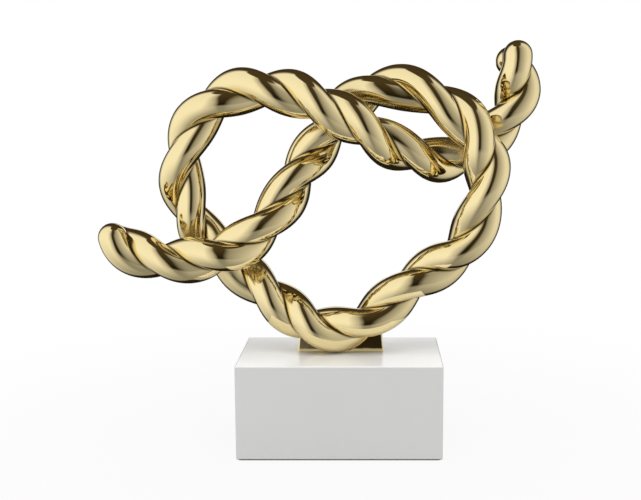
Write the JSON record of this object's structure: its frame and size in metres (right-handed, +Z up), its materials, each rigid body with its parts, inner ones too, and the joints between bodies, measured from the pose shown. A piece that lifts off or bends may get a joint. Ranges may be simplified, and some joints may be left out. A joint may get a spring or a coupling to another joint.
{
  "type": "knot sculpture",
  "caption": "Table sculpture of a polished gold two-strand rope tied in a loose overhand knot, standing on a small foot block screwed to a white rectangular base with felt below.",
  "frame": {"origin": "middle of the felt's underside, where the sculpture stands", "axes": "+X to the right as the knot is looked at from the front, +Y away from the viewer, +Z up"},
  "size_m": [0.3513, 0.1, 0.3227],
  "materials": {
    "gold": "polished",
    "white_lacquer": "satin",
    "steel": "satin",
    "felt": "matte"
  },
  "bodies": {
    "root": {"first_strand": "gold", "second_strand": "gold", "foot_block": "gold", "base_block": "white_lacquer", "mounting_screws": "steel", "screw_washers": "steel", "felt_sheet": "felt"}
  },
  "joints": []
}
